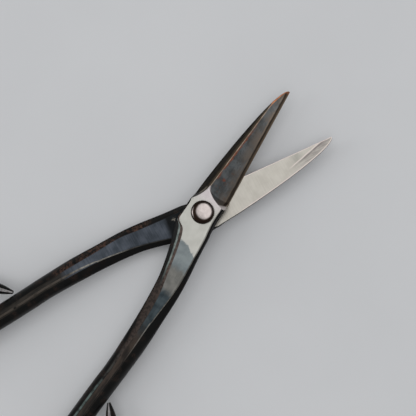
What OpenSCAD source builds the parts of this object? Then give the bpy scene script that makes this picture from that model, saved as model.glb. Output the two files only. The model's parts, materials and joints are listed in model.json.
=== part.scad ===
// Floral snips: two forged arms that cross at one rivet.
// Both arms are the same forging. The back one is turned over about the long axis.
// +Y runs to the blade tips, +Z along the rivet, and the origin is under the peened end of the rivet.

/* [Pose] */
// Angle between the two arms at rest, in degrees
rest_opening = 25; // [2:0.2:50]

/* [Rivet] */
// Diameter of the rivet's pin
pin_d = 5; // [3.5:0.1:6]
// Diameter of the domed head
head_d = 8; // [7.2:0.1:10]
// Height of the domed head
head_h = 2; // [1.2:0.1:3]
// Diameter of the washer under the peened end
washer_d = 9; // [7.5:0.1:11]
// Thickness of the washer
washer_t = 0.8; // [0.4:0.1:1.5]
// Diameter of the peened end
peen_d = 7.2; // [6.6:0.1:7.4]
// Height of the peened end
peen_h = 1.2; // [0.8:0.1:2]
// Diameter of the flat hammered on the peened end
peen_flat_d = 5; // [3:0.1:6]
// Clearance between the pin and each bore, on the radius
pin_clearance = 0.05; // [0.02:0.01:0.1]
// Running gap between the two arms, and between the back arm and the washer
running_gap = 0.1; // [0.05:0.01:0.2]

/* [Pad] */
// Thickness of an arm at the rivet
arm_t = 5; // [4:0.1:6]
// From the rivet's axis to the spine side of the pad
spine_offset = 6.2; // [5.6:0.1:8]
// From the rivet's axis to the heel of the cutting edge, across the arm
heel_offset = 5.3; // [4.8:0.1:7]
// From the rivet's axis to the heel of the cutting edge, along the arm
heel_y = 4.7; // [4.4:0.1:6]
// Where the ridge of the blade starts, across the arm on the spine side
ridge_offset = 3; // [2.4:0.1:3.6]
// Where the ridge of the blade starts, along the arm
ridge_y = 8.8; // [8:0.1:11]
// Where the grind of the spine runs out into the pad, along the arm
shoulder_y = 1.3; // [0.8:0.1:2.4]
// Width of the broken edge on the spine side of the pad
edge_break = 0.3; // [0.2:0.05:0.5]
// Width of the broken edge on the other side of the pad, from the heel down
heel_break = 0.8; // [0.4:0.05:1]

/* [Blade] */
// From the rivet's axis to the tip
blade_l = 50; // [42:1:60]
// How far the tip passes the centre line when the blades are shut
tip_pass = 0.5; // [0.2:0.1:1.5]
// Thickness of the blade at the tip
tip_t = 1.1; // [0.8:0.1:1.6]
// Flat left on the cutting edge
edge_land = 0.2; // [0.1:0.05:0.4]
// Height at which the main grind would reach the cutting edge
grind_edge_h = 0.75; // [0.6:0.05:1]
// Rise of the honed bevel for each millimetre from the cutting edge
hone_rise = 0.92; // [0.8:0.02:1.2]
// Fall of the spine's grind for each millimetre from the ridge
spine_fall = 0.87; // [0.6:0.01:1]
// Fall of the shoulder where each grind runs up to the pad
shoulder_fall = 1.7; // [1.3:0.1:2.4]

/* [Shank] */
// Thickness of the round bar along the inner side of a finger loop
rod_d = 8; // [7:0.1:9]
// How far the middle of the shank bows from the centre line, to the middle of the bar
bow_x = 5.6; // [5.2:0.1:7]
// Gap between the two finger loops when the blades are shut
shut_gap = 0.8; // [0.4:0.1:2]

/* [Finger loop] */
// From the rivet's axis to the far end of a finger loop
handle_l = 150; // [140:1:165]
// From the rivet's axis to where the tail of the bar meets its own shank
tail_y = 73; // [68:1:78]
// Width of a finger loop, from the middle of the bar to the middle of the bar
loop_w = 27; // [23:0.5:32]
// Thickness of the bar at the far end of a finger loop
bend_d = 7; // [6:0.1:8]
// Thickness of the bar along the outer side of a finger loop
outer_d = 5.6; // [4.5:0.1:6.5]
// Thickness of the pointed end of the tail
point_d = 1.2; // [0.6:0.1:1.8]
// Gap between the pointed end of the tail and the shank
tail_gap = 0.3; // [0.2:0.05:0.6]

/* [Hidden] */

$fn = 64;

// Heights on the rivet, from the flat on its peened end upward
peen_rim_h = peen_h / 4;
washer_z = peen_h;
back_arm_z = washer_z + washer_t + running_gap;
joint_z = back_arm_z + arm_t + running_gap / 2;
head_z = joint_z + running_gap / 2 + arm_t;

// The pad, seen from its outer face with the blade upward
pad_w = spine_offset + heel_offset;
pad_x = (heel_offset - spine_offset) / 2;

// The blade's outline and grinds, in the same view
heel_x = heel_offset;
ridge_x = -ridge_offset;
heel_curve = 1.7;
shoulder_curve = 1.8;
belly_curve = 1.5;
ridge_land = 0.15;
ridge_end_x = -2.1;
ridge_end_y = blade_l - 6.2;
tip_land = 0.1;

// Stations along the blade: the shoulders, the straight part and the tip
shoulder_steps = 12;
blade_steps = 8;
tip_steps = 8;

// Steps from one station of the bar to the next
bar_steps = 4;

function mix(a, b, t) = a + (b - a) * t;
function share(a, b, x) = (x - a) / (b - a);
function clamp(x, low = 0, high = 1) = min(max(x, low), high);

// Outline of the blade: the bellied spine and the straight cutting edge
function spine_at(y) =
    let (u = clamp(share(shoulder_y, blade_l, y)))
    tip_pass - (tip_pass + spine_offset) * sqrt(1 - pow(u, belly_curve));
function edge_at(y) = mix(heel_x, tip_pass, clamp(share(heel_y, blade_l, y)));

// The ridge runs straight until it meets the spine near the tip
function ridge_line(y) = mix(ridge_x, ridge_end_x, share(ridge_y, ridge_end_y, y));
function ridge_at(y) = max(ridge_line(y), mix(spine_at(y), edge_at(y), 0.12));
function ridge_h(y) = mix(arm_t, tip_t, clamp(share(ridge_y, blade_l, y)));

// Where the bright flat of the pad ends, on the spine side and on the edge side
function flat_left(y) =
    y > ridge_y
    ? ridge_at(y)
    : mix(ridge_x, -spine_offset, pow(clamp(share(ridge_y, shoulder_y, y)), shoulder_curve));
function flat_right(y) =
    y > ridge_y
    ? ridge_at(y)
    : mix(heel_x, ridge_x, pow(1 - pow(clamp(share(ridge_y, heel_y, y)), heel_curve), 1 / heel_curve));
function flat_end(x) =
    let (u = clamp(share(heel_x, ridge_x, x)))
    mix(ridge_y, heel_y, pow(1 - pow(u, heel_curve), 1 / heel_curve));

// Height of the spine's grind, and of the main grind with its honed bevel, over the mating face
function spine_grind(x, y) =
    let (
        bevel = ridge_h(y) - spine_fall * (ridge_at(y) - x),
        shoulder = arm_t - shoulder_fall * (flat_left(y) - x)
    )
    min(ridge_h(y), max(bevel, y < ridge_y ? shoulder : 0, edge_land));
function main_fall(y) = (ridge_h(y) - grind_edge_h) / (edge_at(y) - ridge_at(y));
function main_grind(x, y) =
    let (
        in = edge_at(y) - x,
        facet = min(grind_edge_h + in * main_fall(y), edge_land + in * hone_rise),
        shoulder = arm_t - shoulder_fall * (y - flat_end(x))
    )
    min(ridge_h(y), max(facet, shoulder));

// The edge side of the outer face, with the pad's edge broken
function edge_side(x, y) = min(main_grind(x, y), y < ridge_y ? arm_t - heel_break + edge_at(y) - x : arm_t);

// The line where the honed bevel meets the main grind
function hone_at(y) =
    let (w = (grind_edge_h - edge_land) / max(hone_rise - main_fall(y), 0.1))
    edge_at(y) - min(w, 0.4 * (edge_at(y) - ridge_at(y)));

// One section of the blade: up the edge, over the outer face, down the spine and back along the mating face
function blade_section(y) =
    let (
        spine = spine_at(y),
        edge = edge_at(y),
        land = min(ridge_land, 0.06 * (edge - spine)),
        right = min(flat_right(y) + land, edge - (y < ridge_y ? heel_break : land)),
        left = max(flat_left(y) - land, spine + (y < ridge_y ? edge_break : land)),
        hone = max(hone_at(y), mix(right, edge, 0.6)),
        middle = mix(right, hone, 0.5),
        top = ridge_h(y),
        edge_h = edge_side(edge, y),
        spine_h = min(spine_grind(spine, y), top - (y < ridge_y ? edge_break : 0)),
        quarter = mix(left, spine, 0.35),
        three_quarters = mix(left, spine, 0.7)
    )
    [
        [edge, edge_h / 3], [edge, edge_h],
        [hone, edge_side(hone, y)], [middle, edge_side(middle, y)], [right, top],
        [left, top], [quarter, spine_grind(quarter, y)], [three_quarters, spine_grind(three_quarters, y)],
        [spine, spine_h], [spine, spine_h / 2],
        each [for (t = [0:9]) [mix(spine, edge, t / 9), 0]]
    ];

function blade_ring(y) = [for (p = blade_section(y)) [p[0], y, p[1] + running_gap / 2]];

// Heights along the arm at which the blade has a section, from the tip back to the pad
blade_stations = [
    each [for (i = [0:tip_steps - 1]) mix(ridge_end_y, blade_l - tip_land, cos(90 * i / tip_steps))],
    each [for (i = [0:blade_steps - 1]) mix(ridge_end_y, ridge_y, i / blade_steps)],
    each [for (i = [0:shoulder_steps]) mix(ridge_y, shoulder_y, i / shoulder_steps)]
];

// One section of the bar: a flat bar that turns into a round rod. Its chamfers are wide at two opposite
// corners, the outer face's inner one and the mating face's outer one, and narrow at the other two.
chamfer_depth = 0.3;
function bar_quadrant(w, h, chamfer, round) =
    let (
        flat = w / 2 - chamfer,
        depth = min(chamfer, chamfer_depth * h),
        wall = h / 2 - depth,
        corners = [
            [w / 2, wall * 0.5], [w / 2, wall], [w / 2 - chamfer / 2, h / 2 - depth / 2],
            [flat, h / 2], [flat * 0.4, h / 2]
        ]
    )
    [for (i = [0:4]) mix(corners[i], [w / 2 * cos(9 + 18 * i), h / 2 * sin(9 + 18 * i)], round)];
function bar_section(w, h, wide_chamfer, narrow_chamfer, round) =
    let (
        wide = bar_quadrant(w, h, wide_chamfer, round),
        narrow = bar_quadrant(w, h, narrow_chamfer, round)
    )
    [
        each narrow,
        each [for (i = [4:-1:0]) [-wide[i][0], wide[i][1]]],
        each [for (p = narrow) [-p[0], -p[1]]],
        each [for (i = [4:-1:0]) [wide[i][0], -wide[i][1]]]
    ];

// Stations of the bar from the pad to the pointed tail: x, y, height of the middle over the mating plane,
// width, height, wide chamfer, narrow chamfer, roundness
mid_z = (arm_t + running_gap) / 2;
loop_x = (rod_d + shut_gap) / 2;
loop_l = handle_l - bend_d / 2 - tail_y;
rod_chamfer = 0.29 * rod_d;
function round_bar(x, y, d) = [x, y, 0, d, d, 0.29 * d, 0.29 * d, 1];
function loop_bar(across, along, d) = round_bar(loop_x + across * loop_w, -tail_y - along * loop_l, d);
shank_x = bow_x - 0.5;
tail_end_x = shank_x + (rod_d + point_d) / 2 + tail_gap;
tail_lead = [2.9, 3];
bar_stations = [
    [pad_x, 7, mid_z, pad_w, arm_t, edge_break, heel_break, 0],
    [pad_x, 0, mid_z, pad_w, arm_t, edge_break, heel_break, 0],
    [pad_x + 0.65, -6, mid_z, pad_w + 0.25, arm_t, 1.3, heel_break, 0],
    [mix(pad_x, bow_x, 0.43), -14.5, mid_z, mix(pad_w, rod_d, 0.33), arm_t, 2.4, heel_break, 0],
    [mix(pad_x, bow_x, 0.76), -24, mid_z, mix(pad_w, rod_d, 0.73), arm_t, 2.5, 1.1, 0],
    [mix(pad_x, bow_x, 0.9), -31, mid_z, mix(pad_w, rod_d, 0.87), arm_t, 2.8, 1.5, 0.05],
    [mix(pad_x, bow_x, 0.97), -40, mid_z * 0.7, rod_d, mix(arm_t, rod_d, 0.4), 3.2, 2, 0.2],
    [bow_x, -50, mid_z * 0.2, rod_d, mix(arm_t, rod_d, 0.85), 3, rod_chamfer, 0.75],
    round_bar(bow_x - 0.05, -tail_y + 12, rod_d),
    round_bar(shank_x, -tail_y, rod_d),
    loop_bar(0.01, 0.22, rod_d),
    loop_bar(0, 0.44, rod_d),
    loop_bar(0, 0.63, rod_d),
    loop_bar(0.04, 0.79, rod_d),
    loop_bar(0.17, 0.93, mix(rod_d, bend_d, 0.6)),
    loop_bar(0.42, 1, bend_d),
    loop_bar(0.69, 0.96, mix(bend_d, outer_d, 0.35)),
    loop_bar(0.9, 0.84, mix(bend_d, outer_d, 0.7)),
    loop_bar(1, 0.67, outer_d),
    loop_bar(0.97, 0.48, outer_d),
    loop_bar(0.85, 0.31, 0.95 * outer_d),
    loop_bar(0.66, 0.18, 0.85 * outer_d),
    loop_bar(0.43, 0.085, 0.74 * outer_d),
    round_bar(tail_end_x + tail_lead[0], -tail_y - tail_lead[1], 0.6 * outer_d),
    round_bar(tail_end_x, -tail_y, point_d)
];

// A smooth curve through the stations, and its direction
function station(i) = bar_stations[clamp(i, 0, len(bar_stations) - 1)];
function on_curve(i, t) =
    let (a = station(i - 1), b = station(i), c = station(i + 1), d = station(i + 2))
    b + ((c - a) * t + (2 * a - 5 * b + 4 * c - d) * t * t + (3 * b - a - 3 * c + d) * t * t * t) / 2;
function bar_ring(i, t) =
    let (
        here = on_curve(i, t),
        ahead = on_curve(i, t + 0.01) - on_curve(i, t - 0.01),
        side = [-ahead[1], ahead[0]] / norm([ahead[0], ahead[1]])
    )
    [for (p = bar_section(here[3], here[4], here[5], here[6], clamp(here[7])))
        [here[0] + side[0] * p[0], here[1] + side[1] * p[0], here[2] + p[1]]];

last_span = len(bar_stations) - 2;
arm_rings = [
    each [for (y = blade_stations) blade_ring(y)],
    each [for (i = [1:last_span], k = [0:bar_steps - 1]) bar_ring(i, k / bar_steps)],
    bar_ring(last_span, 1)
];

// A closed skin over a row of rings that all have as many points
module skin(rings) {
    n = len(rings[0]);
    last = len(rings) - 1;
    sides = [
        for (i = [0:last - 1], j = [0:n - 1])
        let (a = i * n + j, b = i * n + (j + 1) % n)
        each [[a, a + n, b], [b, a + n, b + n]]
    ];
    first_cap = [for (j = [1:n - 2]) [0, j, j + 1]];
    last_cap = [for (j = [1:n - 2]) [last * n, last * n + j + 1, last * n + j]];
    polyhedron([each for (ring = rings) ring], concat(sides, first_cap, last_cap));
}

// One arm with its blade, pad, shank and finger loop, shut, on the mating plane
module arm() {
    difference() {
        skin(arm_rings);
        translate([0, 0, -arm_t])
            cylinder(h = 3 * arm_t, d = pin_d + 2 * pin_clearance);
    }
}

// The top arm: its blade leans to the left of the centre line, its handle to the right
module front_arm() {
    color([0.25, 0.26, 0.27])
        translate([0, 0, joint_z])
            rotate([0, 0, rest_opening / 2])
                arm();
}

// The same forging turned over, with its mating face upward
module back_arm() {
    color([0.45, 0.46, 0.46])
        translate([0, 0, joint_z])
            rotate([0, 0, -rest_opening / 2])
                rotate([0, 180, 0])
                    arm();
}

// Domed head, plain pin and peened end, all turned about the rivet's axis
module pivot_rivet() {
    crown_r = head_h * 0.75;
    crown_h = head_h * 0.6;
    dome = [
        for (i = [0:6])
        let (a = 15 * i)
        [head_d / 2 - crown_r + crown_r * cos(a), head_z + head_h - crown_h + crown_h * sin(a)]
    ];
    color([0.78, 0.75, 0.73])
        rotate_extrude()
            polygon([
                [0, 0], [peen_flat_d / 2, 0], [peen_d / 2, washer_z - peen_rim_h], [peen_d / 2, washer_z],
                [pin_d / 2, washer_z], [pin_d / 2, head_z], [head_d / 2, head_z],
                each dome, [0, head_z + head_h]
            ]);
}

// Plain washer between the peened end and the back arm
module back_washer() {
    color([0.6, 0.6, 0.6])
        translate([0, 0, washer_z])
            difference() {
                cylinder(h = washer_t, d = washer_d);
                translate([0, 0, -washer_t])
                    cylinder(h = 3 * washer_t, d = pin_d + 2 * pin_clearance);
            }
}

front_arm();
back_arm();
pivot_rivet();
back_washer();
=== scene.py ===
"""Floral snips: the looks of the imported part.

Lengths in the sections are millimetres, and every mesh is scaled to metres as it is made."""

import json
import math

import bmesh
import bpy
import numpy as np
from mathutils import Matrix, Vector, noise


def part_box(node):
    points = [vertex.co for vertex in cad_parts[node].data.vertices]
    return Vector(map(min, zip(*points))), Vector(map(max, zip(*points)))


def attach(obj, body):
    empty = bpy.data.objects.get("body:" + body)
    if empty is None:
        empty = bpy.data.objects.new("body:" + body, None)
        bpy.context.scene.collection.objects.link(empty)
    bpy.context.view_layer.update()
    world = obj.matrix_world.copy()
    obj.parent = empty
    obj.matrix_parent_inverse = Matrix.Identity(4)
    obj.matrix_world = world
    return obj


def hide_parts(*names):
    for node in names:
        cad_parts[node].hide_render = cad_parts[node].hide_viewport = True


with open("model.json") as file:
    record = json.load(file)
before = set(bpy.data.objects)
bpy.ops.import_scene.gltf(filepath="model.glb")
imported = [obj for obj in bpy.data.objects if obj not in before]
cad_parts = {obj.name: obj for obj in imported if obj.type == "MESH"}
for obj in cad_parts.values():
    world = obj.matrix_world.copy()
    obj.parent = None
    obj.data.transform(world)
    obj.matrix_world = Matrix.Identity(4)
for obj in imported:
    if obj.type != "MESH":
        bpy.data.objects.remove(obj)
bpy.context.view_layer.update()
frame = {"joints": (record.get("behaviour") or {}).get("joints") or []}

# Forging: one bar of carbon steel, drawn out to a blade at one end and bent round to a finger loop at the
# other. The mating face, the pad round the rivet and the blade are ground after forging, the rest keeps
# its black scale. Both arms are this forging.
mm = 0.001

# Pad: the rivet's axis is at 0, 0, the blade runs along y, and heights start at the mating plane
running_gap = 0.1
arm_t = 5.0
bore_d = 5.1
spine_offset = 6.2
heel_x = 5.3
heel_y = 4.7
ridge_x = -3.0
ridge_y = 8.8
shoulder_y = 1.3
edge_break = 0.3
heel_break = 0.8
heel_curve = 1.7
shoulder_curve = 1.8

# Blade
blade_l = 50.0
tip_land = 0.1
tip_pass = 0.5
tip_t = 1.1
belly_curve = 1.5
edge_land = 0.2
grind_edge_h = 0.75
hone_rise = 0.92
spine_fall = 0.87
shoulder_fall = 1.7
ridge_end_x = -2.1
ridge_end_y = blade_l - 6.2
least_spine_grind = 0.12
ridge_blend = 0.1
hollow = 0.1
plunge_round = 0.3
crest_round = 0.12
crest_share = 0.08

# Shank, loop and tail
rod_d = 8.0
bow_x = 5.6
shut_gap = 0.8
handle_l = 150.0
tail_y = 73.0
loop_w = 27.0
bend_d = 7.0
outer_d = 5.6
point_d = 1.2
tail_gap = 0.3
tail_lead = (2.9, 3.0)
chamfer_depth = 0.3
bar_corner_r = 0.35
hammer_depth = 0.012
hammer_size = 5.0


def mix(a, b, t):
    return a + (b - a) * t


def share(a, b, x):
    """How far x is from a to b, from 0 to 1."""
    return np.clip((x - a) / (b - a), 0, 1)


def soft_max(a, b, width):
    """The larger of two heights, with the inside corner filleted."""
    t = np.clip(0.5 + (a - b) / (2 * width), 0, 1)
    return mix(b, a, t) + width * t * (1 - t)


def soft_min(a, b, width):
    """The smaller of two heights, with the outside corner rounded."""
    return -soft_max(-a, -b, width)


def spine_at(y):
    return tip_pass - (tip_pass + spine_offset) * np.sqrt(1 - share(shoulder_y, blade_l, y) ** belly_curve)


def edge_at(y):
    return mix(heel_x, tip_pass, share(heel_y, blade_l, y))


def ridge_at(y):
    line = mix(ridge_x, ridge_end_x, (y - ridge_y) / (ridge_end_y - ridge_y))
    return soft_max(line, mix(spine_at(y), edge_at(y), least_spine_grind), ridge_blend)


def ridge_h(y):
    return mix(arm_t, tip_t, share(ridge_y, blade_l, y))


def flat_left(y):
    """Where the pad's flat ends on the spine's side, along the shoulder."""
    if y > ridge_y:
        return ridge_at(y)
    return mix(ridge_x, -spine_offset, share(ridge_y, shoulder_y, y) ** shoulder_curve)


def flat_right(y):
    """Where the pad's flat ends on the edge's side, along the plunge of the main grind."""
    if y > ridge_y:
        return ridge_at(y)
    return mix(heel_x, ridge_x, (1 - share(ridge_y, heel_y, y) ** heel_curve) ** (1 / heel_curve))


def flat_end(x):
    return mix(ridge_y, heel_y, (1 - share(heel_x, ridge_x, x) ** heel_curve) ** (1 / heel_curve))


def outer_face(x, y):
    """Height of the outer face: the pad, the main grind and its honed bevel, and the spine's grind."""
    ridge, edge, top = ridge_at(y), edge_at(y), ridge_h(y)
    crest = min(crest_round, crest_share * (edge - spine_at(y)))
    run = edge - x
    fall = (top - grind_edge_h) / (edge - ridge)
    scoop = hollow * share(ridge_y, 2 * ridge_y, y) * np.sin(math.pi * share(edge, ridge, x))
    facet = np.minimum(grind_edge_h + run * fall - scoop, edge_land + run * hone_rise)
    plunge = arm_t - shoulder_fall * (y - flat_end(x))
    main = soft_max(facet, plunge, plunge_round)
    bevel = top - spine_fall * (ridge - x)
    if y < ridge_y:
        bevel = soft_max(bevel, arm_t - shoulder_fall * (flat_left(y) - x), plunge_round)
    bevel = np.maximum(bevel, edge_land)
    height = soft_min(soft_min(main, top, crest), soft_min(bevel, top, crest), crest)
    if y < ridge_y:
        height = soft_min(height, arm_t - heel_break + run, crest)
        height = soft_min(height, arm_t - edge_break + x - spine_at(y), crest)
    return height


# The eight sides of a section, in the order of its points, each with the rounded corner before it. On the
# blade the first and third are the main grind and the spine's grind, on the shank the flat's two chamfers.
grind_side, flat_side, spine_side, inner_wall, inner_foot, mating_side, outer_foot, outer_wall = range(8)
corner_points = 5
side_points = (28, 8, 8, 2, 2, 12, 2, 2)
side_starts = np.cumsum([0] + [corner_points + count for count in side_points])
hone_points = 4


def spread(a, b, count):
    """Values from a to b, with neither end."""
    return a + (b - a) * np.arange(1, count + 1)[:, None] / (count + 1)


def bend(start, corner, end):
    """The points of a rounded corner."""
    t = np.linspace(0, 1, corner_points)[:, None]
    return mix(mix(start, corner, t), mix(corner, end, t), t)


def rounded(corners, radius):
    """A closed section through the corners, each rounded off, as x and z."""
    bends = []
    for k, here in enumerate(corners):
        ends = []
        for other in (corners[k - 1], corners[(k + 1) % len(corners)]):
            length = np.linalg.norm(other - here)
            ends.append(here + (other - here) * min(radius, 0.45 * length) / length)
        bends.append(bend(ends[0], here, ends[1]))
    around = []
    for k, corner in enumerate(bends):
        around += [corner, spread(corner[-1], bends[(k + 1) % len(bends)][0], side_points[k])]
    return np.concatenate(around)


# Half widths of the rubbed corners of a blade's section, and what they may take of a narrow one
corner_w = 0.2
corner_share = 0.06
lip_w = 0.03
lip_share = 0.1


def blade_ring(y):
    """One section of the blade or of the pad above the rivet."""
    spine, edge = float(spine_at(y)), float(edge_at(y))
    pad = y < ridge_y
    crest = min(corner_w, corner_share * (edge - spine))
    land = crest if pad else crest / 3
    aside = mix(crest, land, 0.5)
    right = min(float(flat_right(y)) + aside, edge - (heel_break if pad else crest))
    left = max(float(flat_left(y)) - aside, spine + (edge_break if pad else crest))
    lip = min(edge_break / 3 if pad else lip_w, lip_share * (edge - spine))
    main_fall = (ridge_h(y) - grind_edge_h) / (edge - ridge_at(y))
    hone_w = (grind_edge_h - edge_land) / max(hone_rise - main_fall, 0.1)
    hone = max(edge - min(hone_w, 0.4 * (edge - right)), mix(right, edge, 0.6))
    inward = np.concatenate([
        spread(edge - lip, hone, hone_points)[:, 0],
        [hone],
        spread(hone, right + land, side_points[grind_side] - hone_points - 1)[:, 0],
        np.linspace(right + land, right - land, corner_points),
        spread(right - land, left + land, side_points[flat_side])[:, 0],
        np.linspace(left + land, left - land, corner_points),
        spread(left - land, spine + lip, side_points[spine_side])[:, 0],
    ])
    inward = np.clip(inward, spine + lip, edge - lip)
    top = np.stack([inward, outer_face(inward, y)], 1)
    edge_h, spine_h = float(outer_face(edge, y)), float(outer_face(spine, y))
    if pad:
        edge_h, spine_h = min(edge_h, arm_t - lip), min(spine_h, arm_t - lip)
    edge_wall = np.array([edge, max(edge_h - lip, 0.5 * edge_h)])
    spine_wall = np.array([spine, max(spine_h - lip, 0.5 * spine_h)])
    edge_top = bend(edge_wall, np.array([edge, edge_h]), top[0])
    spine_top = bend(top[-1], np.array([spine, spine_h]), spine_wall)
    foot = min(lip, 0.2 * edge_h)
    low = [np.array(p) for p in ((spine, foot), (spine + foot, 0), (edge - foot, 0), (edge, foot))]
    bends = [
        spine_top,
        bend(mix(low[0], spine_top[-1], 0.1), low[0], mix(low[0], low[1], 0.3)),
        bend(mix(low[1], low[0], 0.3), low[1], mix(low[1], low[2], 0.02)),
        bend(mix(low[2], low[1], 0.02), low[2], mix(low[2], low[3], 0.3)),
        bend(mix(low[3], low[2], 0.3), low[3], mix(low[3], edge_top[0], 0.1)),
        edge_top,
    ]
    around = [edge_top, top]
    for k, side in enumerate(range(inner_wall, outer_wall + 1)):
        around += [bends[k], spread(bends[k][-1], bends[k + 1][0], side_points[side])]
    section = np.concatenate(around)
    return np.stack([section[:, 0], np.full(len(section), y), section[:, 1] + running_gap / 2], 1)


pad_w = spine_offset + heel_x
pad_x = (heel_x - spine_offset) / 2
mid_z = (arm_t + running_gap) / 2
shank_x = bow_x - 0.5
loop_x = (rod_d + shut_gap) / 2
loop_l = handle_l - bend_d / 2 - tail_y
tail_x = shank_x + (rod_d + point_d) / 2 + tail_gap


def shank_w(drawn):
    """Width of the shank, drawn out from the pad's at 0 to the rod's at 1."""
    return mix(pad_w, rod_d, drawn)


def shank_mid(bowed):
    """Middle of the shank, bowed out from the pad's at 0 to the furthest at 1."""
    return mix(pad_x, bow_x, bowed)


def round_bar(x, y, d):
    return (x, y, 0, d, d, *[0.29 * d] * 4, 1)


def loop_bar(across, along, d):
    return round_bar(loop_x + across * loop_w, -tail_y - along * loop_l, d)


# Stations of the bar from the pad to the pointed tail: x, y, height of the middle over the mating plane,
# width, height, inner and outer chamfer of the flat, inner and outer chamfer of the mating face, roundness
stations = np.array([
    (pad_x, 7, mid_z, pad_w, arm_t, edge_break, heel_break, heel_break, edge_break, 0),
    (pad_x, 0, mid_z, pad_w, arm_t, edge_break, heel_break, heel_break, edge_break, 0),
    (pad_x + 0.33, -5.4, mid_z, pad_w + 0.75, arm_t, edge_break, heel_break, 1, 0.9, 0),
    (pad_x + 0.85, -8, mid_z, pad_w + 0.9, arm_t, 3.05, 0.9, 1.3, 1.5, 0),
    (shank_mid(0.41), -14.5, mid_z, shank_w(0.22), arm_t, 2.9, 1, 1.8, 1.7, 0),
    (shank_mid(0.745), -24, mid_z, shank_w(0.57), arm_t, 2.5, 1.5, 2, 1.95, 0),
    (shank_mid(0.885), -31, mid_z, shank_w(0.7), arm_t, 3, 2, 2.35, 1.55, 0.05),
    (shank_mid(0.96), -40, mid_z * 0.7, shank_w(0.86), mix(arm_t, rod_d, 0.4), 3.2, 2.6, 2.9, 1.9, 0.2),
    (bow_x, -50, mid_z * 0.2, shank_w(0.87), mix(arm_t, rod_d, 0.85), 3, 2.9, 3.1, 2.2, 0.75),
    round_bar(bow_x - 0.05, -tail_y + 12, rod_d),
    round_bar(shank_x, -tail_y, rod_d),
    loop_bar(0.01, 0.22, rod_d),
    loop_bar(0, 0.44, rod_d),
    loop_bar(0, 0.63, rod_d),
    loop_bar(0.04, 0.79, rod_d),
    loop_bar(0.17, 0.93, mix(rod_d, bend_d, 0.6)),
    loop_bar(0.42, 1, bend_d),
    loop_bar(0.69, 0.96, mix(bend_d, outer_d, 0.35)),
    loop_bar(0.9, 0.84, mix(bend_d, outer_d, 0.7)),
    loop_bar(1, 0.67, outer_d),
    loop_bar(0.97, 0.48, outer_d),
    loop_bar(0.85, 0.31, 0.95 * outer_d),
    loop_bar(0.66, 0.18, 0.85 * outer_d),
    loop_bar(0.43, 0.085, 0.74 * outer_d),
    round_bar(tail_x + tail_lead[0], -tail_y - tail_lead[1], 0.6 * outer_d),
    round_bar(tail_x, -tail_y, point_d),
])


def about(i):
    """The stations before and after the stretch from station i to the next, with its own two."""
    return (stations[min(max(i + k, 0), len(stations) - 1)] for k in (-1, 0, 1, 2))


def on_bar(i, t):
    """A smooth curve through the stations, from station i to the next."""
    a, b, c, d = about(i)
    return b + ((c - a) * t + (2 * a - 5 * b + 4 * c - d) * t**2 + (3 * b - a - 3 * c + d) * t**3) / 2


def heading(i, t):
    """The way that the bar runs, which turns evenly from one station to the next."""
    a, b, c, d = (station[:2] for station in about(i))
    ahead = mix((c - a) / np.linalg.norm(c - a), (d - b) / np.linalg.norm(d - b), t)
    return ahead / np.linalg.norm(ahead)


# Where the middles of the eight corners lie round the rod, and from them every point of a section
corner_angles = np.radians([27, 75, 108, 153, 207, 267, 291, 333])
half_corner = corner_points // 2
section_points = side_starts[-1]
rod_angles = np.interp(
    np.arange(half_corner, half_corner + section_points),
    side_starts + half_corner,
    np.append(corner_angles, corner_angles[0] + math.tau),
)
rod_angles = np.roll(rod_angles, half_corner)


def bar_ring(i, t):
    """One section of the bar: flat at the pad, with four chamfers, and round along the loop."""
    x, y, z, w, h, *chamfers, roundness = on_bar(i, t)
    roundness = min(max(roundness, 0), 1)
    out, inn, top = w / 2, -w / 2, h / 2
    chamfers = [max(chamfer, edge_break) for chamfer in chamfers]
    flat_in, flat_out, mating_in, mating_out = chamfers
    walls = [top - min(chamfer, chamfer_depth * h) for chamfer in chamfers]
    corners = [
        (out, walls[1]), (out - flat_out, top), (inn + flat_in, top), (inn, walls[0]),
        (inn, -walls[2]), (inn + mating_in, -top), (out - mating_out, -top), (out, -walls[3]),
    ]
    flat_bar = rounded([np.array(c) for c in corners], bar_corner_r)
    rod = np.stack([out * np.cos(rod_angles), top * np.sin(rod_angles)], 1)
    section = mix(flat_bar, rod, roundness)
    ahead = heading(i, t)
    ring = np.stack([x - ahead[1] * section[:, 0], y + ahead[0] * section[:, 0], z + section[:, 1]], 1)
    middle = np.array([x, y, z])
    for k, point in enumerate(ring):
        dent = hammer_depth * roundness * (0.5 + 0.5 * noise.noise(Vector(point) / hammer_size))
        ring[k] = mix(point, middle, dent)
    return ring


bar_steps = 9
plunge_l = 4.0
tip_ys = ridge_end_y + (blade_l - tip_land - ridge_end_y) * np.cos(np.linspace(0, math.pi / 2, 25)[:-1])
blade_ys = np.linspace(ridge_end_y, ridge_y + plunge_l, 50)[:-1]
plunge_ys = np.linspace(ridge_y + plunge_l, ridge_y, 20)[:-1]
heel_ys = heel_y + (ridge_y - heel_y) * np.linspace(1, 0, 40)[:-1] ** 2
pad_ys = np.linspace(heel_y, shoulder_y, 24)
blade_rings = [blade_ring(y) for y in np.concatenate([tip_ys, blade_ys, plunge_ys, heel_ys, pad_ys])]
spans = range(1, len(stations) - 1)
bar_rings = [bar_ring(i, k / bar_steps) for i in spans for k in range(bar_steps)]
bar_rings.append(bar_ring(len(stations) - 2, 1))
rings = np.array(blade_rings + bar_rings)

face_kinds = (
    "forged", "flat", "main_grind", "spine_grind", "ridge", "mating", "inner_chamfer", "outer_chamfer",
    "rubbed_highlight_edge",
)
first_bar = len(blade_rings)
loop_half = first_bar + bar_steps * len(spans) // 2
tail_start = len(rings) - 2 * bar_steps
rusty_tip_y = 43.5
rod_y = -40.0
bend_y = -98.0
pad_brink = ((flat_side, 2), (flat_side, 3), (spine_side, 0), (spine_side, 1))
blade_sides = {spine_side: "spine_grind", inner_wall: "forged"}
bar_sides = {
    flat_side: "flat", spine_side: "inner_chamfer", mating_side: "mating", outer_foot: "outer_chamfer",
}


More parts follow.
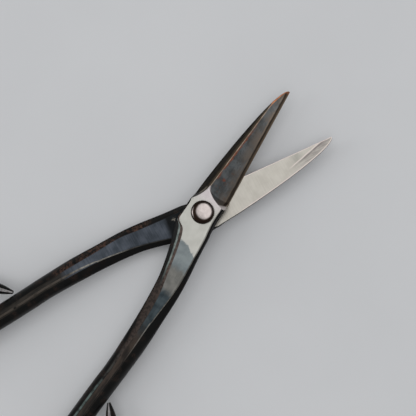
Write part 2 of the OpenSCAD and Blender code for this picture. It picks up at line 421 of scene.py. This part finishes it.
def face_kind(ring, point):
    """The finish on the face that runs from one point of a ring to the next."""
    side = int(np.searchsorted(side_starts, point, side="right")) - 1
    into_side = point - side_starts[side]
    y = rings[ring, :, 1].mean()
    if ring < first_bar - 1:
        if side in (grind_side, outer_wall):
            return "main_grind" if y > heel_y else "forged"
        # The pad's brinks take the painted highlight rim.
        if y < ridge_y and (side, into_side) in pad_brink:
            return "rubbed_highlight_edge"
        if side == spine_side and y > rusty_tip_y:
            return "ridge"
        if side == flat_side:
            return "ridge" if y > ridge_y else "flat"
        return blade_sides.get(side, "mating")
    # The tail's strips take the painted highlight stripe.
    if ring > tail_start:
        return "rubbed_highlight_edge" if side in (flat_side, mating_side) else "forged"
    if y < bend_y or ring > loop_half:
        return "forged"
    # Along the shank and rod, a strip at each flat's brink takes the painted highlight line.
    if side in (flat_side, mating_side) and into_side in ((0, 1) if y > rod_y else (1, 2)):
        return "rubbed_highlight_edge"
    return bar_sides.get(side, "forged")


def skin(rings, name):
    """A closed mesh over a row of sections."""
    count = len(rings[0])
    mesh = bmesh.new()
    rows = [[mesh.verts.new(Vector(p) * mm) for p in ring] for ring in rings]
    for i in range(len(rings) - 1):
        for j in range(count):
            k = (j + 1) % count
            face = mesh.faces.new((rows[i][j], rows[i][k], rows[i + 1][k], rows[i + 1][j]))
            face.material_index = face_kinds.index(face_kind(i, j))
    for row, ring in ((rows[0], rings[0]), (rows[-1], rings[-1])):
        middle = mesh.verts.new(Vector(ring.mean(0)) * mm)
        for j in range(count):
            mesh.faces.new((row[j], row[(j + 1) % count], middle))
    return closed(mesh, name)


def closed(mesh, name):
    """The finished mesh, with its faces looking out."""
    bmesh.ops.recalc_face_normals(mesh, faces=mesh.faces)
    data = bpy.data.meshes.new(name)
    mesh.to_mesh(data)
    mesh.free()
    return data


def turned(profile, name, steps=96):
    """A mesh turned about Z from radius and height pairs, its ends closed on the axis."""
    mesh = bmesh.new()
    angles = [math.tau * k / steps for k in range(steps)]
    rows = []
    for r, z in profile:
        if r == 0:
            rows.append([mesh.verts.new((0, 0, z * mm))] * steps)
            continue
        rows.append([mesh.verts.new((r * mm * math.cos(a), r * mm * math.sin(a), z * mm)) for a in angles])
    for low, high in zip(rows, rows[1:]):
        for k in range(steps):
            n = (k + 1) % steps
            corners = dict.fromkeys((low[k], low[n], high[n], high[k]))
            if len(corners) > 2:
                mesh.faces.new(corners)
    return closed(mesh, name)


def shown(name, data, seat=Matrix.Identity(4)):
    """Seats a mesh in the tool, smooth but for its true edges. Its finish keeps the place from before."""
    place = data.attributes.new("place", "FLOAT_VECTOR", "POINT")
    place.data.foreach_set("vector", np.array([v.co / mm for v in data.vertices]).ravel())
    data.transform(seat)
    data.shade_smooth()
    data.set_sharp_from_angle(angle=math.radians(38))
    piece = bpy.data.objects.new(name, data)
    bpy.context.scene.collection.objects.link(piece)
    return piece


def drilled(data, diameter, low, high):
    """A copy of a mesh with a hole along Z."""
    radius = diameter / 2
    profile = [(0, low), (radius, low), (radius, high), (0, high)]
    blank = bpy.data.objects.new("blank", data)
    drill = bpy.data.objects.new("drill", turned(profile, "drill"))
    for piece in (blank, drill):
        bpy.context.scene.collection.objects.link(piece)
    cut = blank.modifiers.new("bore", "BOOLEAN")
    cut.operation = "DIFFERENCE"
    cut.solver = "EXACT"
    cut.object = drill
    bpy.context.view_layer.update()
    made = bpy.data.meshes.new_from_object(blank.evaluated_get(bpy.context.evaluated_depsgraph_get()))
    for piece in (blank, drill):
        bpy.data.objects.remove(piece)
    return made


def linear(colour):
    """The shader's own form of a colour that is written as the eye reads it, from 0 to 255."""
    parts = [v / 3294.6 if v < 10.3 else ((v / 255 + 0.055) / 1.055) ** 2.4 for v in colour]
    return (*parts, 1.0)


class Shade:
    """One socket in a finish's nodes. Sums on it add Math nodes, and node() adds any other kind."""

    def __init__(self, tree, socket=None):
        self.tree = tree
        self.socket = socket

    def node(self, kind, settings=(), sockets=(), out=0):
        made = self.tree.nodes.new("ShaderNode" + kind)
        for name, value in dict(settings).items():
            setattr(made, name, value)
        for name, value in dict(sockets).items():
            if isinstance(value, Shade):
                self.tree.links.new(value.socket, made.inputs[name])
            else:
                made.inputs[name].default_value = value
        return Shade(self.tree, made.outputs[out])

    def math(self, operation, *terms):
        return self.node("Math", {"operation": operation}, dict(enumerate(terms)))

    def __add__(self, other):
        return self.math("ADD", self, other)

    def __sub__(self, other):
        return self.math("SUBTRACT", self, other)

    def __rsub__(self, other):
        return self.math("SUBTRACT", other, self)

    def __mul__(self, other):
        return self.math("MULTIPLY", self, other)

    def __pow__(self, other):
        return self.math("POWER", self, other)

    __radd__ = __add__
    __rmul__ = __mul__

    def larger(self, other):
        return self.math("MAXIMUM", self, other)

    def rise(self, low, high):
        """0 at low and 1 at high, eased between them."""
        sockets = {"Value": self, "From Min": low, "From Max": high}
        return self.node("MapRange", {"interpolation_type": "SMOOTHSTEP"}, sockets)

    def band(self, start, full, wane, end):
        """1 from full to wane, eased to 0 at start and at end."""
        return self.rise(start, full) * self.rise(end, wane)

    def over(self, under, colour):
        """The colour under, with another over it where this mask is 1."""
        colours = [linear(c) if isinstance(c, tuple) else c for c in (under, colour)]
        return self.node("Mix", {"data_type": "RGBA"}, {0: self, 6: colours[0], 7: colours[1]}, out=2)

    def grain(self, size, detail, stretch=(1, 1, 1)):
        """Noise over a place in millimetres, with grains of about that size."""
        steps = tuple(s / size for s in stretch)
        place = self.node("VectorMath", {"operation": "MULTIPLY"}, {0: self, 1: steps})
        return self.node("TexNoise", {}, {"Vector": place, "Scale": 1, "Detail": detail})

    def wander(self, size, detail, reach):
        """Noise about 0, to make a line wander by up to half that reach either way."""
        return (self.grain(size, detail) - 0.5) * reach

    def along(self, axis):
        return self.node("SeparateXYZ", {}, {0: self}, out=axis)

    def away(self, point):
        """Distance from a point, both as places in millimetres."""
        return self.node("VectorMath", {"operation": "DISTANCE"}, {0: self, 1: point}, out="Value")


def finish(name, look):
    """A material whose look is a function from the place on the piece to the shader's sockets."""
    material = bpy.data.materials.new(name)
    material.use_nodes = True
    tree = material.node_tree
    shader = tree.nodes["Principled BSDF"]
    place = Shade(tree).node("Attribute", {"attribute_name": "place"}, out="Vector")
    for socket, value in look(place).items():
        if isinstance(value, Shade):
            tree.links.new(value.socket, shader.inputs[socket])
        else:
            shader.inputs[socket].default_value = value
    return material


def bump(height, depth):
    """A normal from a height between 0 and 1 that stands for a depth in millimetres."""
    return height.node("Bump", {}, {"Strength": 1.0, "Distance": depth * mm, "Height": height})


scale_gloss = 0.16
grind_gloss = 0.3
pit_size = 0.9
pit_depth = 0.03
rubbed_pit_depth = 0.02
flat_line_depth = 0.004
grind_line_depth = 0.006


def black_scale(place):
    """Colour and roughness of forge scale, with rust breaking through it."""
    rust = place.grain(3.5, 6).rise(0.5, 0.64) * place.grain(0.5, 4).rise(0.35, 0.6)
    colour = place.grain(7, 3).rise(0.35, 0.65).over((7, 7, 6), (15, 15, 14))
    colour = (rust * 0.6).over(colour, (52, 37, 30))
    rough = 0.26 + place.grain(1.2, 5) * 0.14 + rust * 0.25
    return colour, rough


def forged_look(place):
    """Black scale, dull on the walls of the shank and rubbed smoother along the rod."""
    colour, rough = black_scale(place)
    wall = place.along("Y").rise(-54, -40)
    return {
        "Base Color": (wall * 0.7).over(colour, (9, 9, 9)),
        "Roughness": rough + wall * 0.3,
        "Specular IOR Level": scale_gloss,
        "Normal": bump(place.grain(pit_size, 5), pit_depth),
    }


def inner_chamfer_look(place):
    """The shank's inner chamfer: a brown line along the flat, then a grey line of painted highlight, then
    black scale.

    The brown widens and darkens down the shank, and along the rod the painted highlight line runs on alone."""
    y, z = place.along("Y"), place.along("Z")
    below = (arm_t + running_gap / 2) - z + place.wander(1.5, 4, 0.25)
    colour, rough = black_scale(place)
    brown = below.rise(0.42, 0.3) * y.band(-38, -30, -5.5, -4)
    brown = brown.larger(below.rise(1.9, 1.1) * y.band(-66, -54, -32, -24) * 0.8)
    tone = place.grain(1, 5).rise(0.35, 0.65)
    upper_brown = tone.over((64, 53, 48), (96, 81, 74))
    lower_brown = tone.over((46, 38, 34), (74, 62, 56))
    colour = brown.over(colour, y.rise(-22, -30).over(upper_brown, lower_brown))
    # Painted highlight: a grey line across the chamfer where its rounded face would catch light from the
    # left.
    rubbed = below.band(0.28, 0.38, 0.6, 0.76) * y.rise(-30, -18)
    highlight_grey = place.grain(1, 5).rise(0.3, 0.7).over((100, 110, 107), (142, 152, 147))
    colour = rubbed.over(colour, highlight_grey)
    # Painted highlight: the grey line runs on along the rod, at one height on its side.
    line = z.band(3.5, 3.6, 3.78, 3.88) * y.band(-96, -84, -60, -50) * place.grain(4, 3).rise(0.35, 0.6)
    colour = (line * 0.9).over(colour, y.rise(-62, -74).over((62, 62, 58), (98, 114, 110)))
    return {
        "Base Color": colour,
        "Roughness": rough,
        "Specular IOR Level": scale_gloss,
        "Normal": bump(place.grain(pit_size, 5), rubbed_pit_depth),
    }


def outer_chamfer_look(place):
    """The shank's outer chamfer: black scale, with soft rust in patches."""
    above = place.along("Z") - running_gap / 2 + place.wander(1.5, 4, 0.8)
    colour, rough = black_scale(place)
    patch = place.grain(9, 2).rise(0.36, 0.56) * place.along("Y").band(-60, -52, -22, -16)
    blotch = place.grain(1.1, 8).rise(0.4, 0.62) * patch * above.rise(1.5, 0.7)
    rust = place.grain(0.5, 4).rise(0.3, 0.7).over((54, 41, 35), (100, 72, 60))
    return {
        "Base Color": (blotch * 0.8).over(colour, rust),
        "Roughness": rough + blotch * 0.2,
        "Specular IOR Level": scale_gloss,
        "Normal": bump(place.grain(pit_size, 5), pit_depth),
    }


def rubbed_highlight_edge_look(place):
    """The brink of each flat, a painted highlight that is partly rubbed wear: bright round the pad, grey
    down the shank, dim along the rod.
    """
    y, z = place.along("Y"), place.along("Z")
    colour, _ = black_scale(place)
    tone = place.grain(1, 4).rise(0.3, 0.7)
    # Painted highlight, partly rubbed wear: a line along the brinks that runs on, dimmer, along the rod's
    # crest.
    bare = y.rise(-58, -42)
    wear_and_highlight = y.rise(-94, -76) * place.grain(3, 4).rise(0.2, 0.5) * (1 - y.rise(-50, -62) * z.rise(0, 1))
    mating_brink = z.rise(1.2, 0.6) * y.band(-34, -24, -5, -3)
    wear_and_highlight = wear_and_highlight * (1 - mating_brink * 0.8)
    colour = wear_and_highlight.over(colour, bare.over((76, 69, 62), tone.over((104, 102, 97), (142, 139, 132))))
    # Painted highlight: a pale stripe along the top of the pointed tail.
    tail_highlight = place.along("X").rise(9.4, 9.7) * y.rise(-60, -70) * y.rise(-79.2, -76)
    colour = tail_highlight.over(colour, tone.over((122, 118, 117), (168, 165, 166)))
    # Painted highlight, partly rubbed bare metal: a pale rim round the pad, palest along the pad's tip.
    pad_rim_highlight = y.rise(-14, -12) * (1 - mating_brink)
    colour = pad_rim_highlight.over(colour, tone.over((174, 172, 165), (186, 183, 176)))
    colour = y.rise(2.5, 5).over(colour, (216, 207, 205))
    return {
        "Base Color": colour,
        "Metallic": wear_and_highlight * bare * 0.9,
        "Roughness": 0.32,
        "Specular IOR Level": scale_gloss,
    }


def flat_look(place):
    """The ground flat: bright on the pad, stained down the shank, then a painted highlight, partly hand
    wear, along the rod's top.
    """
    x, y = place.along("X"), place.along("Y")
    wander = place.wander(1.6, 4, 1.6)
    down = 0 - y + wander
    lines = place.grain(0.5, 4, (1, 0.06, 1))
    cloud = (place.grain(3, 6) * 0.8 + lines * 0.2).rise(0.34, 0.66)
    bright = cloud.over((170, 169, 163), (179, 178, 172))
    pad = cloud.over((180, 173, 174), (191, 184, 185))
    blue = cloud.over((104, 111, 113), (122, 129, 130))
    grey = cloud.over((94, 94, 91), (114, 113, 109))
    slate = cloud.over((46, 53, 57), (68, 77, 81))
    black, rough = black_scale(place)
    colour = y.rise(1, 6).over(bright, pad)
    tongue = (x - 2.4).larger(0.0) * 0.55
    colour = (down - tongue + place.wander(0.9, 3, 1.6)).rise(11.8, 12.3).over(colour, blue)
    colour = (down + wander).rise(19.6, 21.6).over(colour, grey)
    colour = (down + wander * 1.5).rise(27.5, 31).over(colour, slate)
    ended = (down + wander * 2).rise(40, 50)
    # Painted highlight, partly hand wear: a lighter brown along the top of the rod where the flat has run
    # out.
    hand_wear_highlight = place.grain(2, 5, (1, 0.3, 1)).rise(0.35, 0.65).over((34, 29, 26), (66, 56, 49))
    colour = ended.over(colour, y.rise(-96, -80).over(black, hand_wear_highlight))
    return {
        "Base Color": colour,
        "Metallic": 1 - ended,
        "Roughness": ended * rough + (1 - ended) * (0.29 + lines * 0.1),
        "Specular IOR Level": scale_gloss,
        "Normal": bump(lines, flat_line_depth),
    }


ridge_lean = (ridge_end_x - ridge_x) / (ridge_end_y - ridge_y)
edge_lean = (heel_x - tip_pass) / (blade_l - heel_y)


def from_edge(x, y):
    """Distance in from the cutting edge, across the blade."""
    return heel_x - (y - heel_y) * edge_lean - x


def main_grind_look(place):
    """The blade's dark main grind: stained, browner towards the edge, with rust and a dark honed bevel."""
    x, y = place.along("X"), place.along("Y")
    lines = place.grain(0.6, 5, (1, 0.1, 1))
    inward = from_edge(x, y) + place.wander(2, 3, 0.3)
    stain = (place.grain(4, 6) * 0.65 + lines * 0.2 + place.grain(0.8, 3) * 0.15).rise(0.38, 0.62)
    colour = stain.over((80, 82, 83), (112, 116, 118))
    speckle = place.grain(0.55, 2).rise(0.56, 0.68)
    colour = (speckle * 0.35).over(colour, (56, 50, 46))
    browned = place.grain(5, 5).rise(0.3, 0.6) * inward.rise(5, 1.8)
    colour = (browned * 0.85).over(colour, (116, 106, 97))
    stained = place.grain(1.3, 4).rise(0.58, 0.7) * y.rise(28, 20) * inward.rise(1.2, 1.8)
    colour = (stained * 0.4).over(colour, (112, 82, 70))
    rust_spot = (place.away((-0.5, 12.9, 3.4)) + place.wander(0.7, 4, 1.6)).rise(0.9, 0.1)
    colour = (rust_spot * 0.75).over(colour, (146, 82, 60))
    from_ridge = x - ridge_x - (y - ridge_y) * ridge_lean
    seam = (from_ridge + place.wander(0.9, 5, 0.8)).rise(0.8, 0.4) * y.band(10, 15, 26, 38)
    seam = seam * place.grain(2.5, 4).rise(0.3, 0.52)
    seam_rust = place.grain(0.6, 4).rise(0.35, 0.65).over((128, 76, 56), (168, 96, 66))
    colour = (seam * 0.85).over(colour, seam_rust)
    brink = inward.band(0.95, 1.15, 1.3, 1.55) * place.grain(3, 3).rise(0.3, 0.6)
    colour = (brink * 0.7).over(colour, (134, 118, 102))
    honed = inward.rise(1.15, 0.95)
    colour = (honed * 0.9).over(colour, lines.rise(0.3, 0.7).over((50, 42, 35), (74, 63, 53)))
    colour = (inward.rise(0.7, 0.35) * y.rise(12, 26)).over(colour, (112, 97, 80))
    colour = inward.rise(0.26, 0.12).over(colour, (138, 121, 104))
    colour = y.rise(48.5, 49.3).over(colour, (160, 108, 80))
    # Painted highlight, partly rubbed bare metal: a pale, less metallic patch at the heel corner, so that
    # it reads bright.
    heel_highlight = (y + inward * 0.4).rise(6.2, 5.6) * x.rise(2.6, 3.4)
    colour = heel_highlight.over(colour, (200, 191, 188))
    return {
        "Base Color": colour,
        "Metallic": 0.9 - heel_highlight * 0.7,
        "Roughness": 0.36 + lines * 0.16,
        "Normal": bump(lines, grind_line_depth),
    }


def spine_grind_look(place):
    """The spine's grind: blackened, browner towards the ridge, with a painted highlight at the foot of its
    shoulder.
    """
    x, y = place.along("X"), place.along("Y")
    lines = place.grain(0.5, 4, (1, 0.1, 1))
    colour = place.grain(3, 5).rise(0.35, 0.65).over((20, 17, 13), (38, 32, 25))
    below_ridge = (ridge_x - x) + (y - ridge_y) * ridge_lean
    rubbed = (below_ridge + place.wander(2, 4, 0.8)).rise(1.2, 0.1) * y.rise(5, 8)
    colour = (rubbed * 0.8).over(colour, (92, 80, 62))
    # Painted highlight: a pale band at the foot of the shoulder, where its slope catches light.
    down_pad = (ridge_y - y) * (1 / (ridge_y - shoulder_y))
    from_pad = ridge_x - (spine_offset + ridge_x) * down_pad**shoulder_curve - x
    foot = from_pad.band(0.45, 0.65, 0.9, 1.2) * y.band(4.2, 5.2, 7.2, 8.4)
    colour = foot.over(colour, (122, 115, 103))
    return {
        "Base Color": colour,
        "Metallic": 0.7,
        "Roughness": 0.36 + lines * 0.15,
        "Specular IOR Level": grind_gloss,
        "Normal": bump(lines, grind_line_depth),
    }


def ridge_look(place):
    """The ridge: a rubbed tan line with rust along it, which turns to bare rust at the tip."""
    y = place.along("Y")
    colour = place.grain(2.2, 5).rise(0.4, 0.6).over((134, 119, 105), (168, 150, 134))
    rusted = place.grain(3.5, 5).rise(0.46, 0.6) * y.band(11, 16, 30, 40)
    colour = (rusted * 0.6).over(colour, (132, 88, 66))
    bare_rust = place.grain(1.2, 4).rise(0.3, 0.7).over((186, 112, 72), (222, 150, 104))
    colour = y.rise(41, 44.5).over(colour, bare_rust)
    return {
        "Base Color": colour,
        "Metallic": 0.5,
        "Roughness": 0.4,
        "Specular IOR Level": grind_gloss,
    }


def mating_look(place):
    """The mating face: bright from tip to pad, dark streak near the tip, dark down the shank with painted
    shadow and grime by the other arm.
    """
    x, y = place.along("X"), place.along("Y")
    lines = place.grain(0.5, 4, (0.06, 1, 1))
    cloud = (place.grain(4, 6) * 0.6 + lines * 0.4).rise(0.35, 0.65)
    bright = cloud.over((166, 162, 154), (178, 174, 166))
    reach = ((y - shoulder_y) * (1 / (blade_l - shoulder_y))) ** belly_curve
    from_spine = x - (tip_pass - (tip_pass + spine_offset) * (1 - reach) ** 0.5)
    from_line = x + 1.77 - (y - 32.6) * 0.197 + place.wander(3, 2, 0.2)
    scratches = place.grain(0.45, 4, (1, 0.12, 1)).rise(0.3, 0.7)
    streak = y.rise(32, 41) * from_line.rise(-0.1, -0.3) * from_spine.rise(0.25, 0.6)
    bright = (streak * (0.2 + scratches * 0.5)).over(bright, (112, 106, 106))
    streak = streak * from_line.rise(-1.0, -0.4) * place.grain(2.5, 3).rise(0.25, 0.5)
    bright = (streak * 0.8).over(bright, (104, 95, 96))
    smudge = (place.away((0.4, 36.5, 0)) + place.grain(1.5, 4) * 2).rise(4, 1)
    bright = (smudge * 0.45).over(bright, (112, 114, 108))
    rim = from_line.band(-0.1, 0.05, 0.15, 0.35) * y.rise(31, 35)
    rim = rim.larger(from_spine.rise(0.4, 0.2) * y.rise(8, 16))
    rim = rim.larger(from_edge(x, y).rise(0.35, 0.15) * y.rise(10, 16))
    bright = rim.over(bright, (198, 187, 181))
    slate = cloud.over((56, 61, 67), (78, 83, 91))
    # Painted shadow of the front arm, partly grime: near black along the line where that arm's edge lies.
    shadow_and_grime = (y - x * 0.15 + place.wander(1.2, 4, 0.8)).rise(-15.6, -13.2)
    slate = (shadow_and_grime * 0.9).over(slate, (20, 20, 19))
    chip = (place.away((3.6, -10.8, 0)) + place.wander(0.6, 4, 2.6)).rise(0.7, 0.3)
    slate = (chip * 0.8).over(slate, (122, 117, 108))
    down = 0 - y + place.wander(2, 3, 2)
    shank = down.rise(3.2, 4.2)
    black, rough = black_scale(place)
    ended = down.rise(51.5, 55)
    # Painted highlight, partly hand wear: a lighter brown along the top of the rod where the face has run
    # out.
    hand_wear_highlight = place.grain(2, 5, (1, 0.3, 1)).rise(0.35, 0.65).over((28, 26, 23), (50, 45, 40))
    colour = ended.over(shank.over(bright, slate), y.rise(-96, -80).over(black, hand_wear_highlight))
    return {
        "Base Color": colour,
        "Metallic": 1 - ended,
        "Roughness": ended * rough + (1 - ended) * (0.27 + lines * 0.1 + shank * 0.12),
        "Specular IOR Level": scale_gloss,
        "Normal": bump(lines, flat_line_depth),
    }


looks = {
    "forged": forged_look, "flat": flat_look, "main_grind": main_grind_look,
    "spine_grind": spine_grind_look, "ridge": ridge_look, "mating": mating_look,
    "inner_chamfer": inner_chamfer_look, "outer_chamfer": outer_chamfer_look,
    "rubbed_highlight_edge": rubbed_highlight_edge_look,
}
blank = skin(rings, "forging")
for kind in face_kinds:
    blank.materials.append(finish(kind + "_steel", looks[kind]))
forging = drilled(blank, bore_d, -arm_t, 2 * arm_t)

# Back arm: the lower half of the shears, the steel forging turned over so that its mating face looks up
# at the other arm. It swings on the rivet, between the front arm and the washer.
joint = frame["joints"][0]
pivot = Matrix.Translation(joint["pos_m"])
half_open = math.radians(joint["range_deg"][1]) / 2
turned_over = Matrix.Rotation(math.pi, 4, "Y")
back_seat = pivot @ Matrix.Rotation(-half_open, 4, "Z") @ turned_over
back_arm = shown("back_arm_forging", forging.copy(), back_seat)
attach(back_arm, "back_half")
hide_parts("back_arm")

# Front arm: the upper half, the same steel forging the right way up, with its ground pad round the head
# of the rivet. The rivet holds it against the back arm, and turns with it.
front_arm = shown("front_arm_forging", forging.copy(), pivot @ Matrix.Rotation(half_open, 4, "Z"))
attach(front_arm, "front_half")
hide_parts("front_arm")

# Rivet: a turned steel pin with a polished, low-domed head, which goes through both arms and the washer.
# Its far end is hammered down over the washer, with a flat in the middle.
rivet_low, rivet_high = (corner.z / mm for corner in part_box("pivot_rivet"))
washer_low, washer_high = (corner.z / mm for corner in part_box("back_washer"))
pin_r = 2.5
head_r = 4.0
head_h = 2.0
head_break = 0.08
crown_w = 1.5
crown_h = 1.2
crown_turn = 80
dome_rise = 0.25
peen_r = 3.6
peen_flat_r = 2.5
peen_rim_z = washer_low - 0.3
peen_break = 0.05
head_z = rivet_high - head_h


def head_profile():
    """The head from its foot to its middle: a short wall, a round shoulder and a low dome."""
    crown_z = rivet_high - dome_rise - crown_h
    wall = [(head_r - head_break, head_z), (head_r, head_z + head_break)]
    turn = np.radians(np.linspace(0, crown_turn, 17))
    shoulder = [(head_r - crown_w * (1 - math.cos(a)), crown_z + crown_h * math.sin(a)) for a in turn]
    edge_r, edge_z = shoulder[-1]
    inward = [1 - t for t in np.linspace(0, 1, 13)[1:-1]]
    dome = [(edge_r * r, rivet_high - (rivet_high - edge_z) * r**2) for r in inward]
    return wall + shoulder + dome + [(0, rivet_high)]


peen = [
    (0, rivet_low),
    (peen_flat_r - 0.15, rivet_low),
    (peen_flat_r + 0.1, rivet_low + 0.06),
    (mix(peen_flat_r, peen_r, 0.6), rivet_low + 0.4),
    (peen_r - peen_break, peen_rim_z - 0.1),
    (peen_r, peen_rim_z + 0.1),
    (peen_r, washer_low - peen_break),
    (peen_r - peen_break, washer_low),
    (pin_r, washer_low),
    (pin_r, head_z),
]
rivet = shown("pivot_rivet_polished", turned(peen + head_profile(), "rivet", 128))


def rivet_look(place):
    """Polished steel: painted highlight disc set off centre, shoulder ring of patina and painted dark
    reflection, painted highlight crescent.
    """
    high = place.along("Z").rise(head_z, head_z + 0.1)
    scuff = place.grain(0.8, 5)
    polished = place.grain(2, 4).rise(0.35, 0.65).over((180, 170, 167), (196, 186, 183))
    # Painted highlight and shade: the bright disc is centred off the axis, and the brown ring round it is
    # partly patina, partly painted dark reflection.
    off_lit_centre = place.away((0.25, 0.8, rivet_high))
    browned = (off_lit_centre + (scuff - 0.5) * 0.25).rise(2.3, 3.05) * high
    # Painted highlight: a pale crescent on one side of the shoulder, where the brown is taken off.
    off_axis = place.node("VectorMath", {"operation": "MULTIPLY"}, {0: place, 1: (1, 1, 0)}).away((0, 0, 0))
    sideways = place.along("X") * -0.67 + place.along("Y") * -0.74
    crescent_highlight = off_axis.band(3.0, 3.2, 3.35, 3.55) * sideways.rise(2.5, 3.1)
    return {
        "Base Color": (browned * (1 - crescent_highlight * 0.7)).over(polished, (50, 39, 33)),
        "Metallic": 1.0,
        "Roughness": 0.22 + scuff * 0.12,
        "Normal": bump(scuff, 0.004),
    }


rivet.data.materials.append(finish("polished_rivet_steel", rivet_look))
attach(rivet, "front_half")
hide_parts("pivot_rivet")

# Washer: a plain ring punched from thin steel sheet, rounded over on its punched side. It lies between
# the back arm and the hammered end of the rivet, which holds it.
washer_r = 4.5
washer_bore_r = bore_d / 2
roll = 0.2
washer_break = 0.04
ring_profile = [
    (washer_bore_r, washer_low),
    (washer_r - roll, washer_low),
    (washer_r - roll * 0.3, washer_low + roll * 0.3),
    (washer_r, washer_low + roll),
    (washer_r, washer_high - washer_break),
    (washer_r - washer_break, washer_high),
    (washer_bore_r, washer_high),
    (washer_bore_r, washer_low),
]
washer = shown("back_washer_punched", turned(ring_profile, "washer"))


def washer_look(place):
    """Satin steel, scuffed all over."""
    scuff = place.grain(0.7, 5)
    return {
        "Base Color": place.grain(2, 4).rise(0.35, 0.65).over((112, 108, 103), (150, 146, 140)),
        "Metallic": 1.0,
        "Roughness": 0.34 + scuff * 0.16,
        "Normal": bump(scuff, 0.006),
    }


washer.data.materials.append(finish("satin_washer_steel", washer_look))
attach(washer, "front_half")
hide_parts("back_washer")

# Floor: one pale, dull sheet that the tool lies on, in metres. It is a hair below the flat on the rivet's
# end, so that the two faces don't share a plane.
half_floor = 2.0
floor_drop = 0.0001
floor_corners = [(x * half_floor, y * half_floor, 0) for x, y in ((-1, -1), (1, -1), (1, 1), (-1, 1))]
floor_mesh = bpy.data.meshes.new("floor")
floor_mesh.from_pydata(floor_corners, [], [(0, 1, 2, 3)])
floor = shown("floor", floor_mesh, Matrix.Translation((0, 0, -floor_drop)))


def floor_look(place):
    return {
        "Base Color": place.grain(60, 4).rise(0.3, 0.7).over((226, 227, 229), (229, 230, 232)),
        "Roughness": 0.8,
        "Specular IOR Level": 0.2,
    }


floor_mesh.materials.append(finish("pale_floor", floor_look))

# Camera: the photograph's view, from above the rivet's head and a little to the picture's right. The
# picture is square, and a pixel has its size at the height of the head.
picture_px = 416
pixel = 0.000337
rivet_px = (202.3, 212.2)
picture_turn = math.radians(47.57)
view_distance = 0.45
aim = Vector((0, 0, 0.013))
lean = math.radians(10)
tip_back = math.radians(-1)
sensor_w = 36
picture_right = Vector((math.cos(picture_turn), math.sin(picture_turn), 0))
picture_up = Vector((-picture_right.y, picture_right.x, 0))
back = math.sin(lean) * math.cos(tip_back) * picture_right + math.sin(tip_back) * picture_up
back.z = math.cos(lean) * math.cos(tip_back)
camera_up = (picture_up - back * picture_up.dot(back)).normalized()
camera_right = camera_up.cross(back)
lens = bpy.data.cameras.new("camera")
lens.sensor_width = sensor_w
lens.lens = sensor_w * view_distance / (picture_px * pixel)
lens.shift_x = (picture_px / 2 - rivet_px[0]) / picture_px
lens.shift_y = (rivet_px[1] - picture_px / 2) / picture_px
lens.clip_start = 0.01
camera = bpy.data.objects.new("camera", lens)
camera_turn = Matrix((camera_right, camera_up, back)).transposed().to_4x4()
camera.matrix_world = Matrix.Translation(aim + back * view_distance) @ camera_turn
bpy.context.scene.collection.objects.link(camera)
bpy.context.scene.camera = camera

# Light: one wide soft box overhead and a little to the right, a low strip at the picture's left, and a dim
# even room. Places and sizes are metres.
overhead = Vector((0, 0, 0.9)) + picture_right * 0.12 + picture_up * 0.12
left = Vector((0, 0, 0.5)) - picture_right * 0.8
room_colour = (0.36, 0.365, 0.37, 1)


def soft_box(name, place, size, watts):
    lamp = bpy.data.lights.new(name, "AREA")
    lamp.shape = "RECTANGLE"
    lamp.size, lamp.size_y = size
    lamp.energy = watts
    holder = bpy.data.objects.new(name, lamp)
    holder.location = place
    holder.rotation_mode = "QUATERNION"
    holder.rotation_quaternion = (aim - place).to_track_quat("-Z", "Y")
    bpy.context.scene.collection.objects.link(holder)


soft_box("overhead_box", overhead, size=(0.95, 0.95), watts=2.87)
soft_box("left_strip", left, size=(0.25, 0.7), watts=1.2)
room = bpy.data.worlds.new("room")
room.use_nodes = True
room.node_tree.nodes["Background"].inputs["Color"].default_value = room_colour
bpy.context.scene.world = room
bpy.context.scene.view_settings.view_transform = "Standard"
